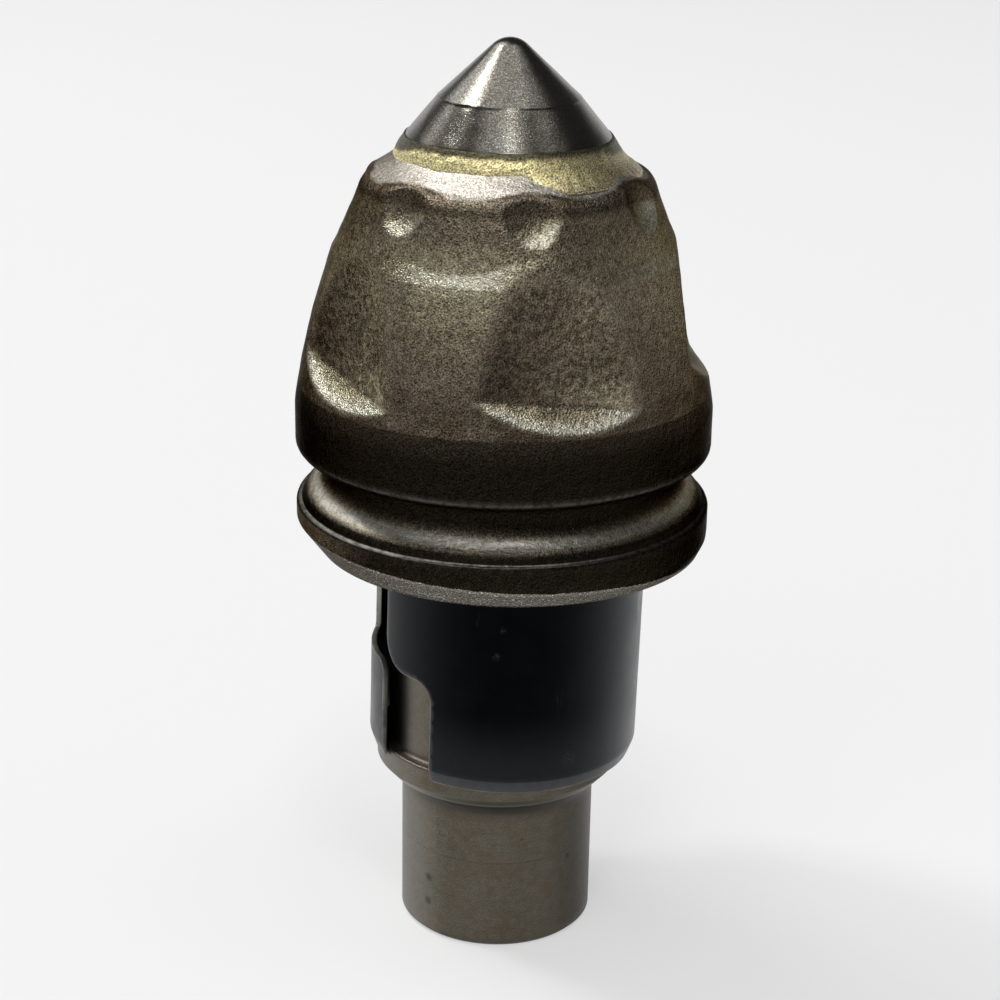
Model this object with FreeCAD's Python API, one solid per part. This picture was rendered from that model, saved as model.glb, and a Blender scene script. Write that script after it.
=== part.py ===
import FreeCAD, Part
import math
import os

# Round-shank conical pick standing on the end of its tail, millimetres.
# Z runs up the pick's own axis from the tail end to the carbide point.
# -Y is the side seen square on; angles are counted from -Y towards +X.

os.makedirs("parts", exist_ok=True)

# Driving sizes: the shank
tail_r = 15.0
tail_len = 22.7
tail_end_chamfer = 0.6
cove_rise = 2.9
cove_out = 2.4
cove_hollow = 0.35
collar_r = 18.9
collar_taper_top = 27.3
collar_top = 30.8
collar_edge_r = 0.4
shank_r = 17.0
shank_fillet = 1.0

# Driving sizes: the flange
flange_bottom = 63.1
flange_r = 31.0
flange_side_low = 65.0
flange_side_top = 69.2
flange_low_out = 30.1
flange_seat_in = 22.0
flange_rim_round = 0.5
rim_step_r = 30.25
rim_step_in = 0.1
rim_step_rise = 0.2
roll_r = 29.2
roll_z = 71.35
roll_bulge = 0.2
worn_cone_r = 29.0
worn_cone_slope = 0.76
worn_cone_off = 1.15

# Driving sizes: the puller groove and the head
groove_r = 26.4
groove_low = 74.4
groove_high = 75.6
groove_low_hollow = 0.32
groove_top_out = 1.8
groove_top_hollow = 0.53
head_bottom = 77.7
head_foot_r = 29.9
head_corner_bulge = 0.33
band_r = 31.1
band_low = 79.2
band_top = 84.6
ogive_bulge = 0.52
knee_r = 25.6
knee_z = 107.6
neck_hollow = 0.2
rim_r = 21.55
rim_drop = 4.7
rim_round_in = 2.1
rim_round_up = 1.9
rim_bulge = 0.4
seat_out_r = 15.6
seat_z = 122.1
rim_z = seat_z - rim_drop

# Driving sizes: forged recesses round the head
recess_count = 5
recess_first_deg = 14.0
recess_tilt_deg = 6.5
recess_lip_out = (31.6, 87.6)
recess_lip_in = (27.9, 91.1)
recess_heel_hollow = 0.25
recess_floor_low = (26.9, 93.2)
recess_floor_top = (24.3, 110.5)
recess_half_width = 17.0

# Driving sizes: small dimples under the top rim
dimple_count = 7
dimple_first_deg = 9.5
dimple_drop = 0.6
dimple_ball_r = 5.2
dimple_lift = 1.4
dimple_depth = 1.1

# The turned outline's seam lies on the land between two recesses
seam_deg = recess_first_deg + 180.0 / recess_count

# Driving sizes: the carbide tip and its brazed seat, heights from the seat
tip_base_r = 15.0
tip_side_h = 2.0
tip_step_r = 10.35
tip_step_h = 7.6
tip_step_in = 0.15
tip_h = 17.3
tip_cone_slope = 1.06
tip_nose_r = 3.7
stub_r = 9.6
stub_len = 8.6
stub_bevel = 1.2
braze_gap = 0.2
braze_foot_r = 17.0
braze_hollow = 0.45
braze_top_drop = 0.1

# Driving sizes: the spring sleeve, with its slit stepped from back to front
sleeve_wall = 0.9
sleeve_collar_gap = 0.95
sleeve_hang = 0.65
sleeve_lean_deg = 1.0
sleeve_bottom = 29.3
sleeve_top_gap = 0.7
sleeve_lead = 2.1
sleeve_lead_in = 0.75
slit_front_high_deg = -60.0
slit_front_low_deg = -32.1
slit_back_high_deg = -101.5
slit_back_low_deg = -62.6
slit_step_z = 45.4
slit_corner_front = 5.6
slit_corner_window = 3.2
slit_corner_back = 2.2
slit_corner_heel = 0.8

# How far the cutting shapes run past what they cut
overrun = 3.0

axis_foot = FreeCAD.Vector(0, 0, 0)
axis_up = FreeCAD.Vector(0, 0, 1)
quarter_rise = 1.0 - math.sqrt(0.5)


def vec(x, z):
    return FreeCAD.Vector(x, 0.0, z)


def line(a, b):
    return Part.LineSegment(vec(*a), vec(*b)).toShape()


def bow(a, b, rise):
    # Arc from a to b that stands out by rise to the right of its way
    dx = b[0] - a[0]
    dz = b[1] - a[1]
    n = math.hypot(dx, dz)
    mid = ((a[0] + b[0]) / 2.0 + rise * dz / n, (a[1] + b[1]) / 2.0 - rise * dx / n)
    return Part.Arc(vec(*a), vec(*mid), vec(*b)).toShape()


def chain(points):
    # Straight edges through a list of points
    return [line(points[i], points[i + 1]) for i in range(len(points) - 1)]


def turn(edges, deg=360.0):
    # Revolve a closed outline about the pick's axis
    face = Part.Face(Part.Wire(edges))
    return face.revolve(axis_foot, axis_up, deg)


def polar(shape, deg):
    # Place a shape drawn on the +X side at an angle counted from -Y
    out = shape.copy()
    out.rotate(axis_foot, axis_up, deg - 90.0)
    return out


def shank_outline():
    # Tail, cove, collar and the necked shank that the sleeve sits on
    cove_top = (tail_r + cove_out, tail_len + cove_rise)
    edge = collar_edge_r
    fil = shank_fillet
    edges = chain([(0, 0), (tail_r - tail_end_chamfer, 0), (tail_r, tail_end_chamfer), (tail_r, tail_len)])
    edges.append(bow((tail_r, tail_len), cove_top, -cove_hollow))
    edges += chain([cove_top, (collar_r, collar_taper_top), (collar_r, collar_top - edge)])
    edges.append(bow((collar_r, collar_top - edge), (collar_r - edge, collar_top), edge * quarter_rise))
    edges.append(line((collar_r - edge, collar_top), (shank_r + fil, collar_top)))
    edges.append(bow((shank_r + fil, collar_top), (shank_r, collar_top + fil), -fil * quarter_rise))
    edges.append(line((shank_r, collar_top + fil), (shank_r, flange_bottom - fil)))
    edges.append(bow((shank_r, flange_bottom - fil), (shank_r + fil, flange_bottom), -fil * quarter_rise))
    return edges


def flange_outline():
    # Flange with a crease at its rim and a roll that runs into the groove.
    # A seam on its underside marks where the seat begins, outside the sleeve.
    rim = flange_rim_round
    rim_top = flange_side_top + rim
    step_top = (rim_step_r - rim_step_in, rim_top + rim_step_rise)
    edges = chain([
        (shank_r + shank_fillet, flange_bottom),
        (flange_seat_in, flange_bottom),
        (flange_low_out, flange_bottom),
        (flange_r, flange_side_low),
        (flange_r, flange_side_top),
    ])
    edges.append(bow((flange_r, flange_side_top), (flange_r - rim, rim_top), rim * quarter_rise))
    edges += chain([(flange_r - rim, rim_top), (rim_step_r, rim_top), step_top])
    edges.append(bow(step_top, (roll_r, roll_z), roll_bulge))
    edges.append(bow((roll_r, roll_z), (groove_r, groove_low), -groove_low_hollow))
    edges.append(line((groove_r, groove_low), (groove_r, groove_high)))
    return edges


def head_outline():
    # Head from the top of the groove to the seat of the carbide
    groove_out = (groove_r + groove_top_out, head_bottom)
    rim_in = (rim_r - rim_round_in, rim_z + rim_round_up)
    pocket_r = stub_r + braze_gap
    return [
        bow((groove_r, groove_high), groove_out, -groove_top_hollow),
        line(groove_out, (head_foot_r, head_bottom)),
        bow((head_foot_r, head_bottom), (band_r, band_low), head_corner_bulge),
        line((band_r, band_low), (band_r, band_top)),
        bow((band_r, band_top), (knee_r, knee_z), ogive_bulge),
        bow((knee_r, knee_z), (rim_r, rim_z), -neck_hollow),
        bow((rim_r, rim_z), rim_in, rim_bulge),
    ] + chain([
        rim_in,
        (seat_out_r, seat_z),
        (pocket_r, seat_z),
        (pocket_r, seat_z - stub_len),
        (0, seat_z - stub_len),
        (0, 0),
    ])


def worn_ring():
    # The bare lower chamfer is turned a little off the forging's centre
    low_z = flange_bottom - overrun
    high_z = flange_side_top + overrun
    low_r = worn_cone_r - overrun * worn_cone_slope
    high_r = worn_cone_r + (high_z - flange_bottom) * worn_cone_slope
    far_r = high_r + overrun
    out = turn(chain([(low_r, low_z), (high_r, high_z), (far_r, high_z), (far_r, low_z), (low_r, low_z)]))
    out.translate(FreeCAD.Vector(worn_cone_off, 0, 0))
    return out


def recess_cutter():
    # A flat forged in with a lip at its lower end, fading out upwards
    far_r = recess_lip_out[0] + overrun
    edges = [
        line(recess_lip_out, recess_lip_in),
        bow(recess_lip_in, recess_floor_low, -recess_heel_hollow),
    ] + chain([
        recess_floor_low,
        recess_floor_top,
        (far_r, recess_floor_top[1]),
        (far_r, recess_lip_out[1]),
        recess_lip_out,
    ])
    face = Part.Face(Part.Wire(edges))
    face.translate(FreeCAD.Vector(0, -recess_half_width, 0))
    solid = face.extrude(FreeCAD.Vector(0, 2.0 * recess_half_width, 0))
    solid.rotate(FreeCAD.Vector(0, 0, recess_floor_low[1]), FreeCAD.Vector(1, 0, 0), -recess_tilt_deg)
    return solid


def dimple_ball():
    # Ball that leaves a shallow dimple just under the top rim
    share = dimple_drop / (rim_z - knee_z)
    skin = rim_r + (knee_r - rim_r) * share - neck_hollow
    ball = Part.makeSphere(dimple_ball_r)
    ball.translate(FreeCAD.Vector(skin + dimple_ball_r - dimple_depth, 0, rim_z - dimple_drop + dimple_lift))
    return ball


def make_body():
    # One forging, turned below the head
    body = polar(turn(shank_outline() + flange_outline() + head_outline()), seam_deg)
    cuts = [worn_ring()]
    recess = recess_cutter()
    for i in range(recess_count):
        cuts.append(polar(recess, recess_first_deg + i * 360.0 / recess_count))
    ball = dimple_ball()
    for i in range(dimple_count):
        cuts.append(polar(ball, dimple_first_deg + i * 360.0 / dimple_count))
    return body.cut(cuts)


def make_tip():
    # Carbide point with a stub that sits in the pocket of the head
    base = seat_z + braze_gap
    foot = seat_z - stub_len + braze_gap
    side_top = seat_z + tip_side_h
    step_z = seat_z + tip_step_h
    point_z = seat_z + tip_h
    ang = math.atan(tip_cone_slope)
    nose_z = point_z - tip_nose_r / math.sin(ang)
    touch = (tip_nose_r * math.cos(ang), nose_z + tip_nose_r * math.sin(ang))
    nose = (0.0, nose_z + tip_nose_r)
    cone_r = tip_step_r - tip_step_in
    cone_z = point_z - cone_r / tip_cone_slope
    nose_bulge = tip_nose_r * (1.0 - math.cos((math.pi / 2.0 - ang) / 2.0))
    return turn(chain([
        (0, foot),
        (stub_r - stub_bevel, foot),
        (stub_r, foot + stub_bevel),
        (stub_r, base),
        (tip_base_r, base),
        (tip_base_r, side_top),
        (tip_step_r, step_z),
        (cone_r, cone_z),
        touch,
    ]) + [bow(touch, nose, nose_bulge), line(nose, (0, foot))])


def make_braze():
    # Braze between the carbide and its pocket, with a fillet all round
    base = seat_z + braze_gap
    foot = seat_z - stub_len + braze_gap
    wide = stub_r + braze_gap
    fall = (seat_z - rim_z - rim_round_up) / (rim_r - rim_round_in - seat_out_r)
    fillet_foot = (braze_foot_r, seat_z - (braze_foot_r - seat_out_r) * fall)
    fillet_top = (tip_base_r, seat_z + tip_side_h - braze_top_drop)
    return turn(chain([
        (0, foot - braze_gap),
        (wide, foot - braze_gap),
        (wide, seat_z),
        (seat_out_r, seat_z),
        fillet_foot,
    ]) + [bow(fillet_foot, fillet_top, -braze_hollow)] + chain([
        fillet_top,
        (tip_base_r, base),
        (stub_r, base),
        (stub_r, foot + stub_bevel),
        (stub_r - stub_bevel, foot),
        (0, foot),
        (0, foot - braze_gap),
    ]))


def sector(from_deg, to_deg, z0, z1, r0, r1):
    # Wedge of space between two angles, two heights and two radii
    outline = chain([(r0, z0), (r1, z0), (r1, z1), (r0, z1), (r0, z0)])
    return polar(turn(outline, to_deg - from_deg), from_deg)


def corner_edges(shape, deg, z):
    # Short straight edges through the sleeve's wall at one angle and height
    near = 0.05
    found = []
    for e in shape.Edges:
        if len(e.Vertexes) != 2:
            continue
        a = e.Vertexes[0].Point
        b = e.Vertexes[1].Point
        level = abs(a.z - z) < near and abs(b.z - z) < near
        through = abs(a.distanceToPoint(b) - sleeve_wall) < near
        at = math.degrees(math.atan2(a.x, -a.y))
        if level and through and abs(at - deg) < 1.0:
            found.append(e)
    return found


def two_bands(shape, z, reach):
    # Keep a seam round the wall at the slit's step: above and below it the slit lies elsewhere
    low = Part.makeCylinder(reach, z, axis_foot)
    return shape.common(low).fuse(shape.cut(low))


def make_sleeve():
    # Spring sleeve rolled from strip, open along a stepped slit
    inner = collar_r + sleeve_collar_gap
    outer = inner + sleeve_wall
    top = flange_bottom - sleeve_top_gap
    r0 = inner - overrun
    r1 = outer + overrun
    tube = turn(chain([
        (inner, sleeve_bottom),
        (outer - sleeve_lead_in, sleeve_bottom),
        (outer, sleeve_bottom + sleeve_lead),
        (outer, top),
        (inner, top),
        (inner, sleeve_bottom),
    ]))
    high = sector(slit_back_high_deg, slit_front_high_deg, slit_step_z, top + overrun, r0, r1)
    low = sector(slit_back_low_deg, slit_front_low_deg, sleeve_bottom - overrun, slit_step_z, r0, r1)
    out = tube.cut([high, low])
    rounds = (
        (slit_front_high_deg, slit_corner_front),
        (slit_front_low_deg, slit_corner_window),
        (slit_back_low_deg, slit_corner_back),
        (slit_back_high_deg, slit_corner_heel),
    )
    for deg, r in rounds:
        out = out.makeFillet(r, corner_edges(out, deg, slit_step_z))
    out = two_bands(out, slit_step_z, r1)
    out.rotate(FreeCAD.Vector(0, 0, sleeve_bottom), FreeCAD.Vector(0, 1, 0), sleeve_lean_deg)
    out.translate(FreeCAD.Vector(sleeve_hang, 0, 0))
    return out


nodes = {
    "pick_body": make_body(),
    "carbide_tip": make_tip(),
    "braze_joint": make_braze(),
    "retainer_sleeve": make_sleeve(),
}
for name in nodes:
    solid = nodes[name].Solids[0]
    solid.exportStep("parts/" + name + ".step")
    print(name, solid.isValid(), len(nodes[name].Solids), round(solid.Volume, 1))
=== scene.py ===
import math

import bpy
import numpy as np
from mathutils import Matrix, Vector, geometry, noise


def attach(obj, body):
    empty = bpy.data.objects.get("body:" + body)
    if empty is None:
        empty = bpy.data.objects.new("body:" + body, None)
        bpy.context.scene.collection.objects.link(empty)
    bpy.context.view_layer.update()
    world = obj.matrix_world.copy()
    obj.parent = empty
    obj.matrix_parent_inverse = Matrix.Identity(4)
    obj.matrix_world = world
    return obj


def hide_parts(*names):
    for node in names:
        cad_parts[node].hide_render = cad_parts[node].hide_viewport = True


bl_info = {
    "name": "Coal cutter pick",
    "version": (1, 0, 0),
    "blender": (4, 5, 0),
    "location": "3D view > Sidebar > Cutter pick",
    "description": "Dresses the packed cutter pick: forging, carbide, braze, spring sleeve and studio",
    "category": "Object",
}

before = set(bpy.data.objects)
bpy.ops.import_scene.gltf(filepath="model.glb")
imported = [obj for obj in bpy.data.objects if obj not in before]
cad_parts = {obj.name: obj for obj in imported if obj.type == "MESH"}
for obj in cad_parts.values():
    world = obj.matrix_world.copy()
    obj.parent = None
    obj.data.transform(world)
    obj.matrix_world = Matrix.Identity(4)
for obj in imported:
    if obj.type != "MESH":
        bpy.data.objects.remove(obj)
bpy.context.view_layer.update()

MM = 0.001
# Radius of the round on which the widths of dents are measured
SPOT_R = 30.0


# Outlines and grids


def bow(a, b, rise, count):
    """Points after a up to b on a shallow arc that stands out by rise to the right of its way."""
    a = np.array(a, float)
    b = np.array(b, float)
    way = b - a
    side = np.array((way[1], -way[0])) / np.linalg.norm(way)
    t = np.arange(1, count + 1)[:, None] / count
    return list(a + way * t + side * (4.0 * rise * t * (1.0 - t)))


def outline(start, legs):
    """Points of an outline: its start and legs of (radius, height, bulge, count), in millimetres."""
    points = [np.array(start, float)]
    for r, z, rise, count in legs:
        points += bow(points[-1], (r, z), rise, count)
    return np.array(points)


def ring_points(radius, height, turn):
    """Points of rows and columns from their radii, heights and angles counted from -Y towards +X."""
    return np.stack((radius * np.sin(turn), -radius * np.cos(turn), height + 0.0 * turn), -1)


def grid_normals(points):
    """Outward directions of a grid that closes round its columns."""
    across = np.roll(points, -1, 1) - np.roll(points, 1, 1)
    along = np.gradient(points, axis=0)
    out = np.cross(across, along)
    return out / np.maximum(np.linalg.norm(out, axis=-1, keepdims=True), 1e-12)


def grid_faces(rows, columns, closed=False):
    """Quads of a grid that closes round its columns, and round its rows if closed, facing outwards."""
    i = np.arange(rows if closed else rows - 1)[:, None]
    j = np.arange(columns)[None, :]
    here, above, after = i * columns, (i + 1) % rows * columns, (j + 1) % columns
    return np.stack((here + j, here + after, above + after, above + j), -1).reshape(-1, 4).tolist()


def lumps(points, size, seed=0.0):
    """Smooth noise from about -1 to 1 with lumps of a given size, one value for each point."""
    flat = points.reshape(-1, 3) / size + seed
    return np.array([noise.noise(p) for p in flat.tolist()]).reshape(points.shape[:-1])


def layered(points, layers):
    """Sum of layers of lumps, each given by its share, size and seed."""
    return sum(share * lumps(points, size, seed) for share, size, seed in layers)


def smooth_min(a, b, width):
    """The lower of two surfaces, with the corner between them rounded."""
    share = np.clip(0.5 + 0.5 * (b - a) / width, 0.0, 1.0)
    return b + (a - b) * share - width * share * (1.0 - share)


def fade(value, low, high):
    """Soft step from 0 at low to 1 at high."""
    t = np.clip((value - low) / (high - low), 0.0, 1.0)
    return t * t * (3.0 - 2.0 * t)


def within(value, band):
    """Soft band: it rises between the first two levels and falls between the last two."""
    return fade(value, *band[:2]) * (1.0 - fade(value, *band[2:]))


def stripe(value, middle, wide, share=1.0):
    """Soft stripe about a middle value, which reaches a given share."""
    return share * np.exp(-(((value - middle) / wide) ** 2))


def full_round(columns):
    """Angles of the columns of a grid that closes round the axis."""
    return np.arange(columns) * math.tau / columns


def around(turn, degrees_round):
    """Signed angle from a given place on the round, in radians."""
    return (turn - math.radians(degrees_round) + math.pi) % math.tau - math.pi


def spot(turn, height, degrees_round, z, wide, tall):
    """Soft round patch at an angle and height, wide and tall in millimetres on a round of SPOT_R."""
    across = around(turn, degrees_round) * SPOT_R / wide
    return np.exp(-(across ** 2) - ((height - z) / tall) ** 2)


def smooth_mesh(name, points, faces, masks):
    """Mesh in metres from points in millimetres, with a value of each mask for each point."""
    mesh = bpy.data.meshes.new(name)
    mesh.from_pydata((points.reshape(-1, 3) * MM).tolist(), [], faces)
    for key, values in masks.items():
        flat = np.asarray(values, np.float32).ravel()
        mesh.attributes.new(key, "FLOAT", "POINT").data.foreach_set("value", flat)
    mesh.shade_smooth()
    mesh.update()
    return mesh


def turned_mesh(name, points, masks):
    """Closed mesh from a grid of rows: the first and last rows are each closed by a fan."""
    rows, columns = points.shape[:2]
    first, last = rows * columns, (rows - 1) * columns
    faces = grid_faces(rows, columns)
    for j in range(columns):
        k = (j + 1) % columns
        faces.append((first, k, j))
        faces.append((first + 1, last + j, last + k))
    ends = np.stack((points[0].mean(0), points[-1].mean(0)))
    closed = {key: np.append(values, (values[0].mean(), values[-1].mean())) for key, values in masks.items()}
    return smooth_mesh(name, np.concatenate((points.reshape(-1, 3), ends)), faces, closed)


def placed(name, mesh, body, node):
    """Object for a mesh, riding on its body and standing for its node."""
    piece = bpy.data.objects.new(name, mesh)
    bpy.context.scene.collection.objects.link(piece)
    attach(piece, body)
    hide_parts(node)
    return piece


# Material wiring


class Wiring:
    """Adds nodes to one tree and joins them."""

    def __init__(self, tree):
        self.tree = tree

    def add(self, kind, sockets=None, **settings):
        node = self.tree.nodes.new(kind)
        for key, value in settings.items():
            setattr(node, key, value)
        for key, value in (sockets or {}).items():
            self.feed(node.inputs[key], value)
        return node

    def feed(self, socket, value):
        if isinstance(value, bpy.types.NodeSocket):
            self.tree.links.new(value, socket)
        elif socket.type == "RGBA" and len(value) == 3:
            socket.default_value = (*value, 1.0)
        else:
            socket.default_value = value

    def maths(self, operation, a, b=0.0, clamp=False):
        return self.add("ShaderNodeMath", {0: a, 1: b}, operation=operation, use_clamp=clamp).outputs[0]

    def plus(self, a, b, clamp=False):
        return self.maths("ADD", a, b, clamp)

    def minus(self, a, b):
        return self.maths("SUBTRACT", a, b)

    def times(self, a, b, clamp=False):
        return self.maths("MULTIPLY", a, b, clamp)

    def mix(self, share, a, b, blend="MIX"):
        """Colour a with a share of colour b over it."""
        node = self.add("ShaderNodeMix", {0: share, 6: a, 7: b}, data_type="RGBA", blend_type=blend)
        return node.outputs[2]

    def blend_values(self, share, a, b):
        """Value from a to b by a share."""
        return self.add("ShaderNodeMix", {0: share, 2: a, 3: b}, data_type="FLOAT").outputs[0]

    def scaled(self, tone, value):
        """Colour made darker or brighter by a value."""
        grey = self.add("ShaderNodeCombineColor", {0: value, 1: value, 2: value}).outputs[0]
        return self.mix(1.0, tone, grey, "MULTIPLY")

    def marked(self, place, spot, low, high):
        """Mask of a small round mark at a place in metres, full within low and gone beyond high."""
        away = self.add("ShaderNodeVectorMath", {0: place, 1: spot}, operation="DISTANCE").outputs["Value"]
        return self.span(away, low, high, 1.0, 0.0)

    def span(self, value, low, high, to_low=0.0, to_high=1.0):
        """Value stretched from one span to another, and held at its ends."""
        sockets = {0: value, 1: low, 2: high, 3: to_low, 4: to_high}
        return self.add("ShaderNodeMapRange", sockets, clamp=True).outputs[0]

    def mask(self, name):
        """Mask that the mesh carries under a name."""
        return self.add("ShaderNodeAttribute", attribute_name=name, attribute_type="GEOMETRY").outputs["Fac"]

    def place(self):
        return self.add("ShaderNodeTexCoord").outputs["Object"]

    def noise(self, place, scale, detail=2.0, roughness=0.5, distortion=0.0):
        sockets = {"Vector": place, "Scale": scale, "Detail": detail,
                   "Roughness": roughness, "Distortion": distortion}
        return self.add("ShaderNodeTexNoise", sockets).outputs["Fac"]

    def stretched(self, place, x, y, z):
        return self.add("ShaderNodeMapping", {"Vector": place, "Scale": (x, y, z)}).outputs[0]

    def effect(self, name, **values):
        """Outputs of a shared node group, which is made the first time that a material asks for it."""
        tree = bpy.data.node_groups.get(name) or GROUPS[name](name)
        node = self.add("ShaderNodeGroup", node_tree=tree)
        for key, value in values.items():
            self.feed(node.inputs[key.replace("_", " ").capitalize()], value)
        return node.outputs


def new_group(name, inputs, outputs):
    """Empty shader node group with named value sockets."""
    tree = bpy.data.node_groups.new(name, "ShaderNodeTree")
    for key, value in inputs:
        socket = tree.interface.new_socket(key, in_out="INPUT", socket_type="NodeSocketFloat")
        socket.default_value = value
    for key in outputs:
        tree.interface.new_socket(key, in_out="OUTPUT", socket_type="NodeSocketFloat")
    wires = Wiring(tree)
    return wires, wires.add("NodeGroupInput").outputs, wires.add("NodeGroupOutput").inputs


# Step over a grain towards its lit side, in grain sizes
GRAIN_LIGHT = (-0.12, -0.12, 0.34)


def make_grain(name):
    """Shot-blasted grain: its height, a scatter of bright grains as painted glints, and painted light and
    shade on the sides of the grains that face up and down.
    """
    w, given, out = new_group(name, [("Size", 0.0003), ("Sparkle", 0.5)], ["Height", "Glint", "Painted relief"])
    place = w.place()
    scale = w.maths("DIVIDE", 1.0, given["Size"])
    cells = w.noise(place, scale, 2.0, 0.6)
    fine = w.noise(place, w.times(scale, 1.3), 1.0)
    w.feed(out["Height"], w.plus(w.times(cells, 0.7), w.times(fine, 0.3)))
    w.feed(out["Glint"], w.times(w.span(fine, 0.56, 0.74), given["Sparkle"]))
    sockets = {0: GRAIN_LIGHT, "Scale": given["Size"]}
    step = w.add("ShaderNodeVectorMath", sockets, operation="SCALE").outputs[0]
    sides = []
    for operation in ("SUBTRACT", "ADD"):
        moved = w.add("ShaderNodeVectorMath", {0: place, 1: step}, operation=operation).outputs[0]
        sides.append(w.noise(moved, scale, 2.0, 0.6))
    slope = w.times(w.minus(*sides), 1.9)
    w.feed(out["Painted relief"], w.plus(slope, 0.5, clamp=True))
    return w.tree


def make_patches(name):
    """Cloudy patches: a mask with the given size, share of cover and softness."""
    w, given, out = new_group(name, [("Size", 0.01), ("Cover", 0.5), ("Softness", 0.15)], ["Mask"])
    cloud = w.noise(w.place(), w.maths("DIVIDE", 1.0, given["Size"]), 4.0, 0.55, 0.4)
    middle = w.minus(1.0, given["Cover"])
    low, high = w.minus(middle, given["Softness"]), w.plus(middle, given["Softness"])
    w.feed(out["Mask"], w.span(cloud, low, high))
    return w.tree


def make_rings(name):
    """Fine turned rings round the axis, uneven from ring to ring."""
    w, given, out = new_group(name, [("Pitch", 0.0004), ("Waver", 0.15)], ["Height"])
    flat = w.stretched(w.place(), 0.02, 0.02, 1.0)
    scale = w.maths("DIVIDE", 1.0, given["Pitch"])
    w.feed(out["Height"], w.noise(flat, scale, 3.0, 0.6, given["Waver"]))
    return w.tree


GRAIN, PATCHES, RINGS = "Blasted grain", "Cloudy patches", "Turned rings"
GROUPS = {GRAIN: make_grain, PATCHES: make_patches, RINGS: make_rings}


def new_material(name):
    """Material with an empty tree, its wiring, its Principled shader and its output."""
    material = bpy.data.materials.new(name)
    material.use_nodes = True
    material.node_tree.nodes.clear()
    w = Wiring(material.node_tree)
    shader = w.add("ShaderNodeBsdfPrincipled")
    w.add("ShaderNodeOutputMaterial", {"Surface": shader.outputs[0]})
    return material, w, shader


def as_metal(w, shader, tone, roughness, normal):
    """Feeds a metal's colour, roughness and normal to its shader."""
    for key, value in (("Base Color", tone), ("Metallic", 1.0), ("Roughness", roughness), ("Normal", normal)):
        w.feed(shader.inputs[key], value)


def bumped(w, height, depth, under=None):
    """Normal from a height map, on top of another normal if one is given."""
    sockets = {"Height": height, "Distance": depth, "Strength": 1.0}
    if under is not None:
        sockets["Normal"] = under
    return w.add("ShaderNodeBump", sockets).outputs[0]


def forged_material(looks):
    """Shot-blasted forging: painted shade as a dark tint on its walls, olive on its slopes, and a painted
    highlight where it faces up, partly steel rubbed bright.
    """
    material, w, shader = new_material("forged_steel")
    fine = w.effect(GRAIN, size=0.25 * MM, sparkle=0.9)
    coarse = w.effect(GRAIN, size=1.0 * MM, sparkle=0.6)
    cloud = w.effect(PATCHES, size=9.0 * MM, cover=0.5, softness=0.12)["Mask"]
    blush = w.effect(PATCHES, size=5.0 * MM, cover=0.42, softness=0.1)["Mask"]
    recess = w.mask("recess")
    uneven = w.minus(coarse["Height"], 0.5)
    broken = w.span(coarse["Height"], 0.35, 0.6)

    # Tint by the share of painted light and wear: painted shade, olive, olive gold, then the painted
    # highlight
    olive = w.mix(cloud, looks.olive, looks.brown)
    olive = w.mix(w.times(blush, 0.35), olive, looks.blush)
    given = w.mask("wear_and_light")
    wear_and_light = w.plus(given, w.times(uneven, w.span(given, 0.0, 0.5, 0.0, 0.45)), clamp=True)
    tone = w.mix(w.span(wear_and_light, 0.0, 0.4), looks.wall_shade, olive)
    tone = w.mix(w.span(wear_and_light, 0.42, 0.68), tone, looks.gilt)
    tone = w.mix(w.span(wear_and_light, 0.68, 0.98), tone, looks.rubbed)

    # Grain with painted light and shade on its sides, stronger in the recesses' coarse crust, and painted
    # glints
    plain_coarse_shading = w.span(coarse["Painted relief"], 0.2, 0.8, 0.85, 1.15)
    coarse_shading = w.blend_values(recess, plain_coarse_shading, w.span(coarse["Painted relief"], 0.2, 0.8, 0.55, 1.5))
    shaded_grain = w.maths("POWER", w.span(fine["Painted relief"], 0.10, 0.90, 0.42, 1.86), 1.6)
    shaded_grain = w.blend_values(w.span(wear_and_light, 0.5, 1.0, 0.0, 0.45), shaded_grain, 1.0)
    tone = w.scaled(tone, w.times(shaded_grain, coarse_shading))
    tone = w.mix(w.times(fine["Glint"], w.span(wear_and_light, 0.0, 0.6, 0.012, 0.5)), tone, looks.glint)

    # Convex edges in bare steel, as edge wear and a painted highlight; painted highlight lines; the bare
    # chamfer and the top face with painted glints and painted grain shading
    edge = w.times(w.mask("edge"), broken, clamp=True)
    tone = w.mix(w.times(edge, w.span(wear_and_light, 0.1, 0.6, 0.05, 0.5)), tone, looks.bare)
    lines = w.times(w.mask("lines"), w.span(coarse["Height"], 0.35, 0.6, 0.3, 0.9))
    tone = w.mix(lines, tone, looks.bare_light)
    bare = w.span(w.plus(w.mask("bare"), w.times(uneven, 0.9)), 0.42, 0.58)
    for share, clean, low, high in ((bare, looks.bare, 0.6, 1.5), (w.mask("top"), looks.top, 0.62, 1.45)):
        shine = w.span(fine["Painted relief"], 0.15, 0.85, low, high)
        tone = w.mix(share, tone, w.scaled(w.mix(fine["Glint"], clean, looks.bare_light), shine))

    dull = w.plus(w.span(fine["Height"], 0.3, 0.7, 0.44, 0.30), w.times(recess, 0.05))
    under = bumped(w, coarse["Height"], 0.16 * MM)
    as_metal(w, shader, tone, dull, bumped(w, fine["Height"], 0.11 * MM, under))
    w.feed(shader.inputs["Specular Tint"], looks.rim_tint)
    return material


# Small dark marks on the tail: place in metres, sizes in millimetres and strength
TAIL_SPOTS = (
    ((0.01110, -0.01009, 0.01357), 0.25, 0.6, 0.9), ((-0.01033, -0.01088, 0.00969), 0.3, 0.9, 0.7),
    ((-0.01046, -0.01075, 0.00552), 0.3, 0.9, 0.6), ((0.0040, -0.01446, 0.0185), 0.1, 0.4, 0.6),
)
TAIL_RING_Z = 14.5


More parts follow.
